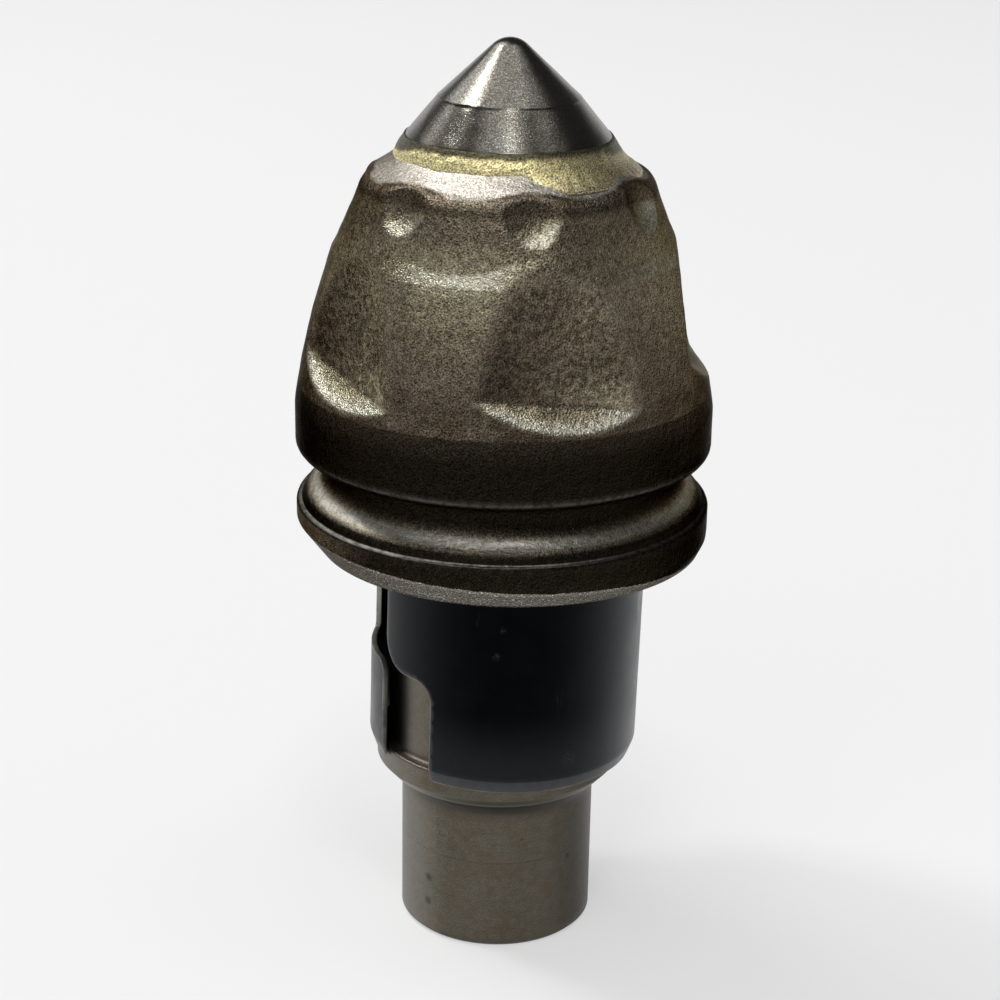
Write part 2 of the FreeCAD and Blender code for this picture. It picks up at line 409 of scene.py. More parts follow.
def turned_material(looks):
    """Bare turned steel of the shank, collar and tail, with faint rings and brown and green patches, painted
    light on its left and painted shade on its right, a painted highlight line on the collar and painted shade
    in the cove and behind the slit.
    """
    material, w, shader = new_material("turned_steel")
    fine = w.effect(GRAIN, size=0.22 * MM, sparkle=0.6)
    ring = w.effect(RINGS, pitch=0.5 * MM, waver=0.1)["Height"]
    cloud = w.effect(PATCHES, size=4.0 * MM, cover=0.5, softness=0.14)["Mask"]
    mottle = w.effect(PATCHES, size=1.4 * MM, cover=0.5, softness=0.16)["Mask"]
    green = w.effect(PATCHES, size=6.5 * MM, cover=0.42, softness=0.12)["Mask"]
    pale = w.mask("pale")
    tone = w.mix(cloud, looks.grey, looks.brown)
    tone = w.mix(w.times(green, 0.6), tone, looks.green)
    tone = w.mix(w.times(mottle, 0.3), tone, looks.light)
    tone = w.mix(w.span(ring, 0.55, 0.8, 0.0, 0.18), tone, looks.dark)
    # Painted grain shading
    shaded_grain = w.span(fine["Painted relief"], 0.2, 0.8, 0.82, 1.2)
    # Painted light on the left side through the pale mask, made cooler below
    tone = w.scaled(tone, w.times(shaded_grain, w.plus(1.0, w.times(pale, 0.75))))
    tone = w.mix(w.span(pale, 0.3, 1.0, 0.0, 0.4), tone, looks.cool)
    # Painted highlight line on the collar's edge
    tone = w.mix(w.times(w.mask("lines"), 0.6), tone, looks.bright)
    # Painted shade from the mesh, joined with the tail's real dark marks and a drawn ring
    marks = w.mask("painted_shade")
    for spot_place, low, high, deep in TAIL_SPOTS:
        mark = w.times(w.marked(w.place(), spot_place, low * MM, high * MM), deep)
        marks = w.maths("MAXIMUM", marks, mark)
    rise = w.add("ShaderNodeSeparateXYZ", {0: w.place()}).outputs[2]
    ring_off = w.maths("ABSOLUTE", w.minus(rise, TAIL_RING_Z * MM))
    drawn = w.times(w.span(ring_off, 0.03 * MM, 0.16 * MM, 0.5, 0.0), w.span(mottle, 0.2, 0.8))
    tone = w.mix(w.maths("MAXIMUM", marks, drawn, clamp=True), tone, looks.dark)
    dull = w.span(fine["Height"], 0.3, 0.7, 0.38, 0.50)
    under = bumped(w, ring, 0.008 * MM)
    as_metal(w, shader, tone, dull, bumped(w, fine["Height"], 0.03 * MM, under))
    return material


def carbide_material(looks):
    """Satin sintered carbide, ground on its point, with painted shade towards the braze and on its step, and
    painted glints and painted grain shading.
    """
    material, w, shader = new_material("tungsten_carbide")
    fine = w.effect(GRAIN, size=0.20 * MM, sparkle=0.7)
    ring = w.effect(RINGS, pitch=0.6 * MM, waver=0.3)["Height"]
    cloud = w.effect(PATCHES, size=4.0 * MM, cover=0.5, softness=0.15)["Mask"]
    tone = w.mix(cloud, looks.grey, looks.warm)
    # Painted glints
    tone = w.mix(w.times(fine["Glint"], 0.7), tone, looks.glint)
    tone = w.mix(w.span(ring, 0.5, 0.75, 0.0, 0.08), tone, looks.dark)
    # Painted grain shading
    tone = w.scaled(tone, w.span(fine["Painted relief"], 0.15, 0.85, 0.55, 1.5))
    # Painted shade towards the braze and on the step
    tone = w.mix(w.mask("painted_shade"), tone, looks.dark)
    dull = w.span(fine["Height"], 0.3, 0.7, 0.25, 0.18)
    as_metal(w, shader, tone, dull, bumped(w, fine["Height"], 0.020 * MM))
    return material


def braze_material(looks):
    """Granular run-out braze, olive gold with greener grains, paler grains as painted glints, and painted
    shade at its top under the carbide.
    """
    material, w, shader = new_material("braze_alloy")
    fine = w.effect(GRAIN, size=0.25 * MM, sparkle=1.0)
    cloud = w.effect(PATCHES, size=2.5 * MM, cover=0.5, softness=0.15)["Mask"]
    tone = w.mix(cloud, looks.gold, looks.green)
    # Painted glints
    tone = w.mix(w.times(fine["Glint"], 0.6), tone, looks.pale)
    tone = w.mix(w.times(w.mask("thin"), 0.7), tone, looks.dull)
    # Painted shade at the top under the carbide
    tone = w.mix(w.mask("shade"), tone, looks.shade)
    # Painted grain shading
    tone = w.scaled(tone, w.maths("POWER", w.span(fine["Painted relief"], 0.12, 0.88, 0.5, 1.65), 1.3))
    dull = w.span(fine["Height"], 0.3, 0.7, 0.52, 0.36)
    as_metal(w, shader, tone, dull, bumped(w, fine["Height"], 0.07 * MM))
    return material


# Small grey marks on the sleeve: place in metres, sizes in millimetres and strength
SLEEVE_SPOTS = (
    ((0.00047, -0.02074, 0.05590), 0.2, 0.7, 0.2), ((-0.00048, -0.02074, 0.05177), 0.2, 0.8, 0.25),
    ((0.01038, -0.01768, 0.03430), 0.3, 1.6, 0.3), ((0.01625, -0.01291, 0.03389), 0.1, 0.8, 1.0),
)
SCUFF_SIZE = 1.1
SCUFF_STRETCH = 0.12


def sleeve_material(looks):
    """Blued spring steel: near black and satin, with a painted sheen on its sides and lower part, and faint
    scuffs along the strip.
    """
    material, w, shader = new_material("spring_steel")
    fine = w.effect(GRAIN, size=0.3 * MM, sparkle=0.4)
    cloud = w.effect(PATCHES, size=7.0 * MM, cover=0.45, softness=0.15)["Mask"]
    scuff = w.noise(w.stretched(w.place(), 1.0, 1.0, SCUFF_STRETCH), 1.0 / (SCUFF_SIZE * MM), 5.0, 0.65)
    tone = w.mix(cloud, looks.black, looks.blue)
    # Painted sheen on the sides and lower part
    tone = w.mix(w.mask("painted_sheen"), tone, looks.painted_sheen)
    tone = w.mix(w.span(scuff, 0.66, 0.8, 0.0, 0.3), tone, looks.scuff)
    ragged = w.plus(w.mask("wear"), w.times(w.minus(scuff, 0.5), 0.8))
    tone = w.mix(w.times(w.span(ragged, 0.35, 0.8), 0.75), tone, looks.scuff)
    for spot_place, low, high, deep in SLEEVE_SPOTS:
        broken = w.span(fine["Height"], 0.45, 0.55, 0.0, deep)
        mark = w.times(w.marked(w.place(), spot_place, low * MM, high * MM), broken)
        tone = w.mix(mark, tone, looks.scuff)
    dull = w.span(cloud, 0.0, 1.0, 0.34, 0.42)
    as_metal(w, shader, tone, dull, bumped(w, fine["Height"], 0.012 * MM))
    return material


def cut_edge_material(looks):
    """Sheared and rubbed edge of the spring strip, grey where the black has worn off."""
    material, w, shader = new_material("spring_cut_edge")
    fine = w.effect(GRAIN, size=0.25 * MM, sparkle=0.6)
    worn = w.effect(PATCHES, size=4.0 * MM, cover=0.62, softness=0.3)["Mask"]
    dull = w.span(fine["Height"], 0.3, 0.7, 0.4, 0.55)
    as_metal(w, shader, w.mix(worn, looks.blue, looks.edge), dull, bumped(w, fine["Height"], 0.02 * MM))
    return material


# Size of the clouds in the floor, in metres
FLOOR_CLOUD = 0.35


def floor_material(looks):
    """Pale studio floor: it shows near white to the camera and in metal, and keeps the shadow."""
    material, w, shader = new_material("studio_floor")
    cloud = w.noise(w.place(), 1.0 / FLOOR_CLOUD)
    w.feed(shader.inputs["Base Color"], w.mix(cloud, looks.floor, looks.floor_far))
    shader.inputs["Roughness"].default_value = 0.9
    shader.inputs["Specular IOR Level"].default_value = 0.0
    path = w.add("ShaderNodeLightPath").outputs
    seen = w.maths("MAXIMUM", path["Is Camera Ray"], path["Is Glossy Ray"])
    seen = w.maths("MAXIMUM", seen, path["Is Transmission Ray"])
    glow = w.add("ShaderNodeEmission", {"Color": (1.0, 1.0, 1.0, 1.0), "Strength": 1.0})
    share = w.times(seen, looks.glow_share)
    both = w.add("ShaderNodeMixShader", {0: share, 1: shader.outputs[0], 2: glow.outputs[0]})
    output = next(n for n in material.node_tree.nodes if n.type == "OUTPUT_MATERIAL")
    w.feed(output.inputs["Surface"], both.outputs[0])
    return material


# Sizes and colours


def length(name, description, millimetres):
    return bpy.props.FloatProperty(name=name, description=description, default=millimetres * MM,
                                   unit="LENGTH", subtype="DISTANCE", precision=5)


def degrees(name, description, value):
    return bpy.props.FloatProperty(name=name, description=description, default=math.radians(value),
                                   unit="ROTATION", subtype="ANGLE")


def colour(name, description, value):
    return bpy.props.FloatVectorProperty(name=name, description=description, default=value, size=3,
                                         min=0.0, max=1.0, subtype="COLOR")


def count(name, description, value):
    return bpy.props.IntProperty(name=name, description=description, default=value, min=8)


def amount(name, description, value):
    return bpy.props.FloatProperty(name=name, description=description, default=value, min=0.0)


class ForgingSettings(bpy.types.PropertyGroup):
    """Sizes and colours of the pick's body."""

    columns: count("Columns", "Columns of the mesh round the forging", 432)
    recess_round: length("Recess rounding", "Softness of the edges of the forged recesses", 0.22)
    hammer_depth: length("Forging waves", "Depth of the slow waves left by the forging", 0.16)
    pit_depth: length("Pits", "Depth of the pits in the recess floors", 0.05)
    land_hollow: length("Land hollows", "Depth of the hollows under the rim between the recesses", 1.25)
    rim_wave: length("Rim wave", "Rise of the top rim over each dimple", 0.28)
    olive: colour("Olive steel", "Main colour of the blasted forging", (0.087, 0.070, 0.049))
    brown: colour("Brown steel", "Second colour of the heat tint", (0.075, 0.057, 0.038))
    blush: colour("Blush", "Paler patches of the heat tint", (0.106, 0.090, 0.066))
    # Painted shade: the upright walls and the lower band are given this dark tint
    wall_shade: colour("Dark tint", "Tint of the upright walls and the lower band", (0.0070, 0.0052, 0.0034))
    # Painted glints on the brightest grains
    glint: colour("Glint", "Colour of the brightest grains", (0.493, 0.471, 0.392))
    # Olive gold and rubbed steel are the middle and top of the painted light ramp: painted highlight where
    # the steel faces up, partly rubbed
    gilt: colour("Olive gold", "Half rubbed steel between the tint and the bright", (0.187, 0.162, 0.108))
    rubbed: colour("Rubbed steel", "Steel rubbed bright where it faces up", (0.355, 0.339, 0.273))
    bare: colour("Bare steel", "Colour where the tint is rubbed off", (0.149, 0.138, 0.121))
    # Painted glints of bare steel, also the colour of the painted highlight lines
    bare_light: colour("Bare glint", "Brightest grains of bare steel", (0.725, 0.696, 0.638))
    top: colour("Top face", "Bare pinkish ring round the carbide", (0.397, 0.365, 0.318))
    rim_tint: colour("Edge-on tint", "How much the steel reflects when seen edge on", (0.220, 0.210, 0.190))


class TurnedSettings(bpy.types.PropertyGroup):
    """Colours of the turned shank, collar and tail."""

    grey: colour("Grey", "Main colour of the turned steel", (0.100, 0.089, 0.068))
    brown: colour("Brown", "Brownish patches", (0.097, 0.078, 0.057))
    green: colour("Green", "Grey-green patches", (0.082, 0.081, 0.062))
    light: colour("Light mottling", "Lighter mottled patches", (0.149, 0.136, 0.112))
    # Painted light: the left side of the shank and tail is made paler and cooler
    cool: colour("Cool side", "Cooler grey on the left side", (0.184, 0.184, 0.177))
    # Painted highlight line on the collar's edge
    bright: colour("Bright edge", "Rubbed edge of the collar", (0.432, 0.406, 0.343))
    # Dark of the rings and the tail's marks, and painted shade in the cove and behind the slit
    dark: colour("Dark rings", "Dirt in the rings and in the cove", (0.040, 0.036, 0.030))


class CarbideSettings(bpy.types.PropertyGroup):
    """Sizes and colours of the carbide tip."""

    columns: count("Columns", "Columns of the mesh round the carbide", 256)
    edge_wave: length("Edge wave", "Unevenness of the carbide's lower edge", 0.12)
    grey: colour("Grey", "Main colour of the carbide", (0.107, 0.103, 0.090))
    warm: colour("Warm grey", "Warmer patches", (0.100, 0.091, 0.075))
    # Painted glints on the brightest grains
    glint: colour("Glint", "Brightest grains", (0.348, 0.334, 0.297))
    # Painted shade at the step and towards the braze, and the dark of the grinding rings
    dark: colour("Dark", "Dark line above the braze", (0.072, 0.067, 0.058))


class BrazeSettings(bpy.types.PropertyGroup):
    """Sizes and colours of the braze."""

    columns: count("Columns", "Columns of the mesh round the braze", 360)
    spread: length("Spread", "How far the braze has run out over the top face", 1.3)
    lump: length("Lumps", "Height of the lumps on the braze", 0.10)
    gold: colour("Gold", "Main colour of the braze", (0.613, 0.521, 0.271))
    green: colour("Olive", "Greener patches", (0.501, 0.452, 0.236))
    # Painted glints on the brightest grains
    pale: colour("Pale grains", "Brightest grains", (0.931, 0.918, 0.640))
    dull: colour("Thin edge", "Where the braze thins out over the steel", (0.224, 0.186, 0.128))
    # Painted shade at the braze's top under the carbide
    shade: colour("Stained edge", "Stained upper edge of the braze", (0.086, 0.078, 0.050))


class SleeveSettings(bpy.types.PropertyGroup):
    """Sizes and colours of the spring sleeve."""

    cell: length("Cell", "Size of the mesh's cells on the sleeve", 0.8)
    edge_round: length("Edge rounding", "Rounding of the strip's cut edges", 0.14)
    black: colour("Black", "Main colour of the sleeve", (0.0024, 0.0025, 0.0028))
    blue: colour("Blue black", "Bluish patches", (0.0033, 0.0039, 0.0047))
    # Painted sheen on the sleeve's sides and lower part
    painted_sheen: colour("Haze", "Paler blue-grey sides of the sleeve", (0.169, 0.173, 0.185))
    scuff: colour("Scuffs", "Grey scuffs on the black", (0.070, 0.071, 0.074))
    edge: colour("Cut edge", "Grey steel on the cut edges", (0.308, 0.301, 0.280))


class StudioSettings(bpy.types.PropertyGroup):
    """Camera, lamps and floor."""

    camera_back: length("Camera distance", "How far in front of the axis the camera stands", 320.0)
    camera_up: length("Camera height", "Height of the camera above the floor", 185.44)
    camera_pitch: degrees("Pitch", "How far the camera looks down", 20.0739)
    camera_roll: degrees("Roll", "Turn of the camera about its view", 1.0286)
    camera_yaw: degrees("Yaw", "Turn of the camera to the side", -0.0583)
    lens: bpy.props.FloatProperty(name="Lens", description="Focal length in millimetres on a 36 mm sensor",
                                  default=80.967, min=1.0)
    key: amount("Key lamp", "Brightness of the lamp behind on the left", 2.9)
    strip: amount("Side lamp", "Brightness of the small lamp on the left", 38.0)
    right: amount("Right panel", "Brightness of the weak panel on the right", 1.1)
    small: amount("Front lamp", "Brightness of the small lamp high in front", 15.0)
    overhead: amount("Top lamp", "Brightness of the lamp above", 1.95)
    front: amount("Front panel", "Brightness of the weak panel in front on the left", 1.3)
    wall: colour("Wall", "Colour of the studio near the horizon", (0.87, 0.87, 0.87))
    ceiling: colour("Ceiling", "Colour of the studio overhead", (0.08, 0.08, 0.08))
    floor: colour("Floor", "Colour of the floor", (0.80, 0.80, 0.80))
    floor_far: colour("Floor cloud", "Second colour of the floor", (0.78, 0.78, 0.78))
    glow_share: amount("Floor glow", "Share of plain white that the camera and metal see in the floor", 0.5)


# Pick body

# Recesses: place round the head and tilt in degrees, and lift in millimetres
RECESSES = ((14.0, 6.5, 0.0), (86.0, 9.0, 0.6), (158.0, 6.5, 0.0), (230.0, 6.5, 0.0), (302.0, 9.5, 0.4))
RECESS_PIVOT = 93.2
# Outline of a recess along its middle: height and distance from the axis
RECESS_FLAT = (
    (70.0, 49.2), (87.6, 31.6), (88.2, 31.0), (91.0, 28.05), (91.9, 27.25), (93.2, 26.88), (98.0, 26.2),
    (110.5, 24.3), (126.0, 21.95),
)
RECESS_HALF = 9.0
RECESS_LIP = (90.4, 94.2)
# Hollows in the lands between the recesses: place in degrees and share of the full depth
LANDS = ((-19.0, 1.0), (50.0, 0.3), (122.0, 0.6), (194.0, 1.0), (266.0, 0.15))
LAND_Z = 109.3
LAND_SAG = 1.7
LAND_R = 25.0
LAND_WIDE = 9.0
LAND_TALL = 6.5
LAND_TAIL = 4.8
DIMPLE_FIRST = 9.5
DIMPLE_COUNT = 7
DIMPLE_BALL = 5.4
DIMPLE_OUT = 25.85
DIMPLE_Z = 118.2
DIMPLE_SOFT = 2.2
# Skin of the forging, as share, size and seed of each layer of lumps, and the most that it may reach
WAVES = ((0.7, 7.0, 0.0), (0.45, 3.1, 11.0), (0.22, 1.5, 23.0))
PITS = ((1.0, 1.7, 5.0), (0.6, 0.9, 31.0))
PIT_FROM = 0.05
BODY_LIMIT = 31.04
# Rows of the band under the head's recesses, and rows beyond the head that its skin runs on over
BAND_ROWS = 14
RIM_ROWS = 12
SKIN_ROWS = (8, 10)
# Soft bands by height: where each begins, is full, begins to fall and is gone
RIM_WAVE_BAND = (112.0, 118.6, 119.4, 121.0)
FORGED_BAND = (78.5, 82.0, 118.0, 121.0)
HEEL_BAND = (88.0, 89.0, 92.0, 97.0)
OPEN_BAND = (88.0, 90.0, 112.0, 115.0)
COVE_BAND = (22.5, 22.9, 24.9, 25.5)
# Painted light and wear: the least share by height, with a painted highlight on the groove's roll, and on the
# head the share by its facing upwards and left, painted as light from above and the left
WEAR_LIGHT_Z = (63.0, 69.4, 69.95, 70.9, 71.2, 71.6, 72.6, 73.0, 73.4, 74.2, 84.6, 88.0, 92.0, 97.0, 104.0)
WEAR_LIGHT_LEAST = (0.02, 0.01, 0.0, 0.02, 0.25, 0.80, 0.80, 0.42, 0.12, 0.0, 0.005, 0.08, 0.23, 0.40, 0.50)
WEAR_LIGHT_HEAD_Z = 88.0
FACING_LIT = (0.0, 0.15, 0.25, 0.40, 0.55, 0.70)
FACING_LIT_SHARE = (0.0, 0.17, 0.36, 0.50, 0.80, 1.0)
FACING_LEFT = 0.45
FACING_RIGHT = 0.15
# Painted shade under the rim: share, and heights from and to
RIM_SHADES = ((0.1, 112.5, 113.5), (0.5, 116.2, 117.4))
# Painted highlights on the recesses' heels, the head's right, the flange's left (partly wear), convex edges
# and land hollows; painted shade under the lips
HEEL_HIGHLIGHT = 0.28
RIGHT_SIDE_LIGHT = 0.07
LEFT_FLANGE_LIGHT = 0.35
EDGE_HIGHLIGHT = 0.07
HOLLOW_HIGHLIGHT = 0.2
LIP_SHADE = 0.5
EDGE_STAND = 0.16
# Painted highlight lines round the body, on rounded edges and the groove's roll: height, half width and
# strength
CREASE_LINE = (69.72, 0.09, 0.55)
CREASE_R = 30.6
FOOT_LINE = (78.95, 0.15, 0.4)
ROLL_LINE = (72.1, 0.5, 1.1)
COLLAR_LINE = (25.65, 0.25)
# Painted shade on the shank: in the cove and a painted shadow behind the slit, and darker at the tail's end
COVE_SHADE = 0.75
SLIT_SHADOW = 0.95
SLIT_DEG = -84.0
SLIT_WIDE = 0.47
# Edge of the bare top face, with its wave over the dimples and its unevenness
TOP_EDGE = (119.15, 119.4)
TOP_WAVE = 0.6
TOP_UNEVEN = 0.18
# Bare chamfer of the flange, as a slanting cone set off to one side
WORN_FOOT = 29.0
WORN_SLOPE = 0.76
WORN_OFF = 1.15
FLANGE_BOTTOM = 63.1

# Outlines as legs of radius, height, bulge and count
SHANK_START = (7.0, 0.0)
SHANK_LEGS = (
    (14.4, 0.0, 0.0, 2), (15.0, 0.6, 0.0, 2), (15.0, 22.7, 0.0, 16), (17.4, 25.6, -0.35, 6),
    (18.9, 27.3, 0.0, 4), (18.9, 30.4, 0.0, 4), (18.5, 30.8, 0.12, 2), (18.0, 30.8, 0.0, 1),
    (17.0, 31.8, -0.29, 2), (17.0, 62.1, 0.0, 6), (18.0, 63.1, -0.29, 2), (26.0, 63.1, 0.0, 2),
)
FLANGE_SIDE = ((30.1, 63.1), (31.0, 65.0), (31.0, 69.2))
NECK_LEGS = (
    (30.5, 69.7, 0.15, 2), (30.25, 69.7, 0.0, 1), (30.15, 69.9, 0.0, 1), (29.2, 71.35, 0.2, 5),
    (26.4, 74.4, -0.32, 9), (26.4, 75.6, 0.0, 2), (28.2, 77.7, -0.53, 7), (29.9, 77.7, 0.0, 3),
    (31.05, 79.2, 0.33, 5), (31.05, 84.6, 0.0, 12),
)
OGIVE_LEG = (25.6, 107.6, 0.52, 400)
OGIVE_LEVELS = ((85.0, 86.4, 0.46), (86.4, 95.0, 0.28), (95.0, 107.5, 0.48))
SHOULDER_LEGS = ((21.55, 117.4, -0.2, 25), (19.45, 119.3, 0.34, 8))
TOP_LEGS = ((15.4, 122.25, 0.0, 11), (9.8, 121.4, 0.0, 2), (9.8, 112.8, 0.0, 2), (4.0, 112.8, 0.0, 1))


def recess_flat():
    """The recess's outline by height, as a softened table of distances from the axis."""
    heights = np.arange(72.0, 124.0, 0.1)
    outs = np.interp(heights, [p[0] for p in RECESS_FLAT], [p[1] for p in RECESS_FLAT])
    reach = 15
    weights = stripe(np.arange(-reach, reach + 1) * 0.1, 0.0, 0.2)
    padded = np.pad(outs, reach, "edge")
    return heights, np.convolve(padded, weights / weights.sum(), "valid")


def flange_rows(turn):
    """Rows of the flange's side, with one row on the edge where the bare chamfer ends."""
    worn_rows, side_rows = 9, 7
    side_top = FLANGE_SIDE[-1][1]

    def side(z):
        return np.interp(z, [p[1] for p in FLANGE_SIDE], [p[0] for p in FLANGE_SIDE])

    def worn(z):
        radius = WORN_FOOT + (z - FLANGE_BOTTOM) * WORN_SLOPE
        return WORN_OFF * np.sin(turn) + np.sqrt(radius ** 2 - (WORN_OFF * np.cos(turn)) ** 2)

    low = np.full_like(turn, FLANGE_BOTTOM)
    high = np.full_like(turn, side_top + 4.0)
    for _ in range(30):
        middle = (low + high) / 2.0
        inside = worn(middle) < side(middle)
        low = np.where(inside, middle, low)
        high = np.where(inside, high, middle)
    edge = np.minimum(low, side_top - 0.3)
    rows = []
    for i in range(worn_rows + 1):
        z = FLANGE_BOTTOM + (edge - FLANGE_BOTTOM) * i / worn_rows
        rows.append((worn(z), z))
    for i in range(1, side_rows + 1):
        z = edge + (side_top - edge) * i / side_rows
        rows.append((side(z), z))
    return rows, worn_rows + 1


def land_hollow(turn, height, degrees_round):
    """Share of a hollow under the rim: deepest on a sagging line, running out downwards and closed above."""
    across = around(turn, degrees_round) * LAND_R / LAND_WIDE
    rise = height - LAND_Z - LAND_SAG * across ** 2
    below = np.exp(np.minimum(rise, 0.0) / LAND_TAIL)
    above = np.clip(1.0 - rise / LAND_TALL, 0.0, 1.0) ** 2
    return np.where(rise < 0.0, below, above) * np.exp(-(across ** 2))


def head_radius(radius, height, turn, soft, hollow):
    """Radius of the head with its recesses and dimples, and the recesses' floor, place across and depth."""
    heights, outs = recess_flat()
    whole = radius
    lip_free = np.ones_like(radius)
    side = np.zeros_like(radius)
    for degrees_round, tilt_degrees, lift in RECESSES:
        angle = around(turn, degrees_round)
        near = np.clip(np.cos(angle), 0.25, 1.0)
        tilt = math.radians(tilt_degrees)
        low = height - RECESS_PIVOT - lift
        across = whole * np.sin(angle)
        for _ in range(2):
            z = low * math.cos(tilt) + across * math.sin(tilt) + RECESS_PIVOT
            cut = np.interp(z, heights, outs) / near
            across = np.minimum(whole, cut) * np.sin(angle)
        on_flat = fade(radius - cut, -0.1, 0.3)
        side = np.where(on_flat > 0.0, np.clip(across / RECESS_HALF, -1.0, 1.0), side)
        lip_free = lip_free * (1.0 - on_flat * (1.0 - fade(z, *RECESS_LIP)))
        radius = smooth_min(radius, cut, soft)
    depth = whole - radius
    share = fade(depth, 0.15, 0.9) * lip_free
    for degrees_round, share_deep in LANDS:
        radius = radius - hollow * share_deep * land_hollow(turn, height, degrees_round)
    for i in range(DIMPLE_COUNT):
        angle = around(turn, DIMPLE_FIRST + i * 360.0 / DIMPLE_COUNT)
        inside = DIMPLE_BALL ** 2 - (height - DIMPLE_Z) ** 2 - (DIMPLE_OUT * np.sin(angle)) ** 2
        ball = DIMPLE_OUT * np.cos(angle) - np.sqrt(np.maximum(inside, 0.0))
        ball = np.where((inside > 0.0) & (np.cos(angle) > 0.0), ball, whole + 5.0)
        radius = smooth_min(radius, ball, DIMPLE_SOFT)
    return radius, share, side, depth


def convex(points, out, reach):
    """How far each point stands out from its neighbours at a given reach of rows and columns."""
    near = np.roll(points, reach, 1) + np.roll(points, -reach, 1)
    above = np.concatenate((points[reach:], np.repeat(points[-1:], reach, 0)))
    below = np.concatenate((np.repeat(points[:1], reach, 0), points[:-reach]))
    return np.sum((points - (near + above + below) / 4.0) * out, -1)


def body_rows(turn):
    """Radii and heights of the body's rows, and the counts of the shank's, the chamfer's and all rows
    up to the head and up to the top face."""
    shank = outline(SHANK_START, SHANK_LEGS)
    flange, worn_rows = flange_rows(turn)
    neck = outline(FLANGE_SIDE[-1], NECK_LEGS)[1:]
    smooth = outline(NECK_LEGS[-1][:2], (OGIVE_LEG,))
    levels = np.concatenate([np.arange(*span) for span in OGIVE_LEVELS] + [OGIVE_LEG[1:2]])
    ogive = np.stack((np.interp(levels, smooth[:, 1], smooth[:, 0]), levels), -1)
    ogive = np.concatenate((ogive, outline(OGIVE_LEG[:2], SHOULDER_LEGS)[1:]))
    top = outline(SHOULDER_LEGS[-1][:2], TOP_LEGS)[1:]

    def full(rows):
        return [(np.full_like(turn, r), np.full_like(turn, z)) for r, z in rows]

    rows = full(shank) + flange + full(neck) + full(ogive) + full(top)
    radius, height = np.array(rows).transpose(1, 0, 2)
    neck_end = len(shank) + len(flange) + len(neck)
    return radius.copy(), height.copy(), len(shank), worn_rows, neck_end, neck_end + len(ogive)


def wear_and_light_mask(points, height, angle, recess, side, depth, edge):
    """Share of painted light and wear over the tint: by height, by facing up and left, and by place, with
    painted shade under the rim, on the recesses' left and under the lips.
    """
    normals = grid_normals(points)
    # Facing up and to the left is painted lighter, as light from above and the left
    turned_left = -normals[..., 0] * np.cos(angle) - normals[..., 1] * np.sin(angle)
    facing = normals[..., 2] + np.where(turned_left > 0.0, FACING_LEFT, FACING_RIGHT) * turned_left
    wear_and_light = np.interp(height, WEAR_LIGHT_Z, WEAR_LIGHT_LEAST)
    by_facing = np.interp(facing, FACING_LIT, FACING_LIT_SHARE)
    wear_and_light = np.where(height > WEAR_LIGHT_HEAD_Z, np.maximum(wear_and_light, by_facing), wear_and_light)
    wear_and_light *= 1.0 - sum(share * fade(height, low, high) for share, low, high in RIM_SHADES)

    # In a recess: painted shade on its left, a painted highlight on the right of its heel
    heel = within(height, HEEL_BAND) * fade(side, -0.9, 0.3)
    wear_and_light *= 1.0 - recess * np.clip(0.24 - 0.40 * side, 0.0, 0.6) * (1.0 - heel)
    wear_and_light += HEEL_HIGHLIGHT * heel * recess

    # Painted light on the head's right and on the flange's left, where it is partly wear, and painted shade
    # under the lips
    right = np.sin(angle)
    wear_and_light += RIGHT_SIDE_LIGHT * fade(right, 0.72, 0.96) * fade(height, 79.0, 82.0)
    wear_and_light += LEFT_FLANGE_LIGHT * fade(-right, 0.56, 0.93) * fade(height, 65.5, 68.0) * (height < 69.5)
    lip = fade(depth, 0.4, 2.2) * (1.0 - recess) * (1.0 - fade(height, 93.0, 95.0))
    wear_and_light *= 1.0 - LIP_SHADE * lip

    # Painted highlights on the edges and in the hollows of the open head
    on_head = within(height, OPEN_BAND)
    wear_and_light += EDGE_HIGHLIGHT * edge * on_head
    for degrees_round, share_deep in LANDS:
        wear_and_light += HOLLOW_HIGHLIGHT * share_deep * land_hollow(angle, height, degrees_round) * on_head
    return np.clip(wear_and_light, 0.0, 1.0)


def line_mask(radius, height, angle):
    """Thin painted highlight lines round the flange's crease, the head's foot, the groove's roll and the
    collar, the crease's and the roll's weaker on the right.
    """
    left_side = 1.0 - 0.75 * fade(np.sin(angle), 0.1, 0.72)
    lines = stripe(height, *CREASE_LINE) * (radius < CREASE_R) * left_side
    lines += stripe(height, *FOOT_LINE) + stripe(height, *ROLL_LINE) * left_side
    return np.clip(lines + stripe(height, *COLLAR_LINE), 0.0, 1.0)


def painted_shade_mask(height, angle, shank_rows):
    """Painted shade in the cove, a painted shadow on the shank behind the slit, and darker at the tail's end.
    """
    low = height[:shank_rows]
    behind = np.exp(-((around(angle[:shank_rows], SLIT_DEG) / SLIT_WIDE) ** 6))
    painted_shade = np.zeros_like(height)
    painted_shade[:shank_rows] = COVE_SHADE * within(low, COVE_BAND) + SLIT_SHADOW * fade(low, 30.9, 31.6) * behind
    painted_shade[:shank_rows] += 1.0 - fade(low, 0.1, 0.7)
    return np.clip(painted_shade, 0.0, 1.0)


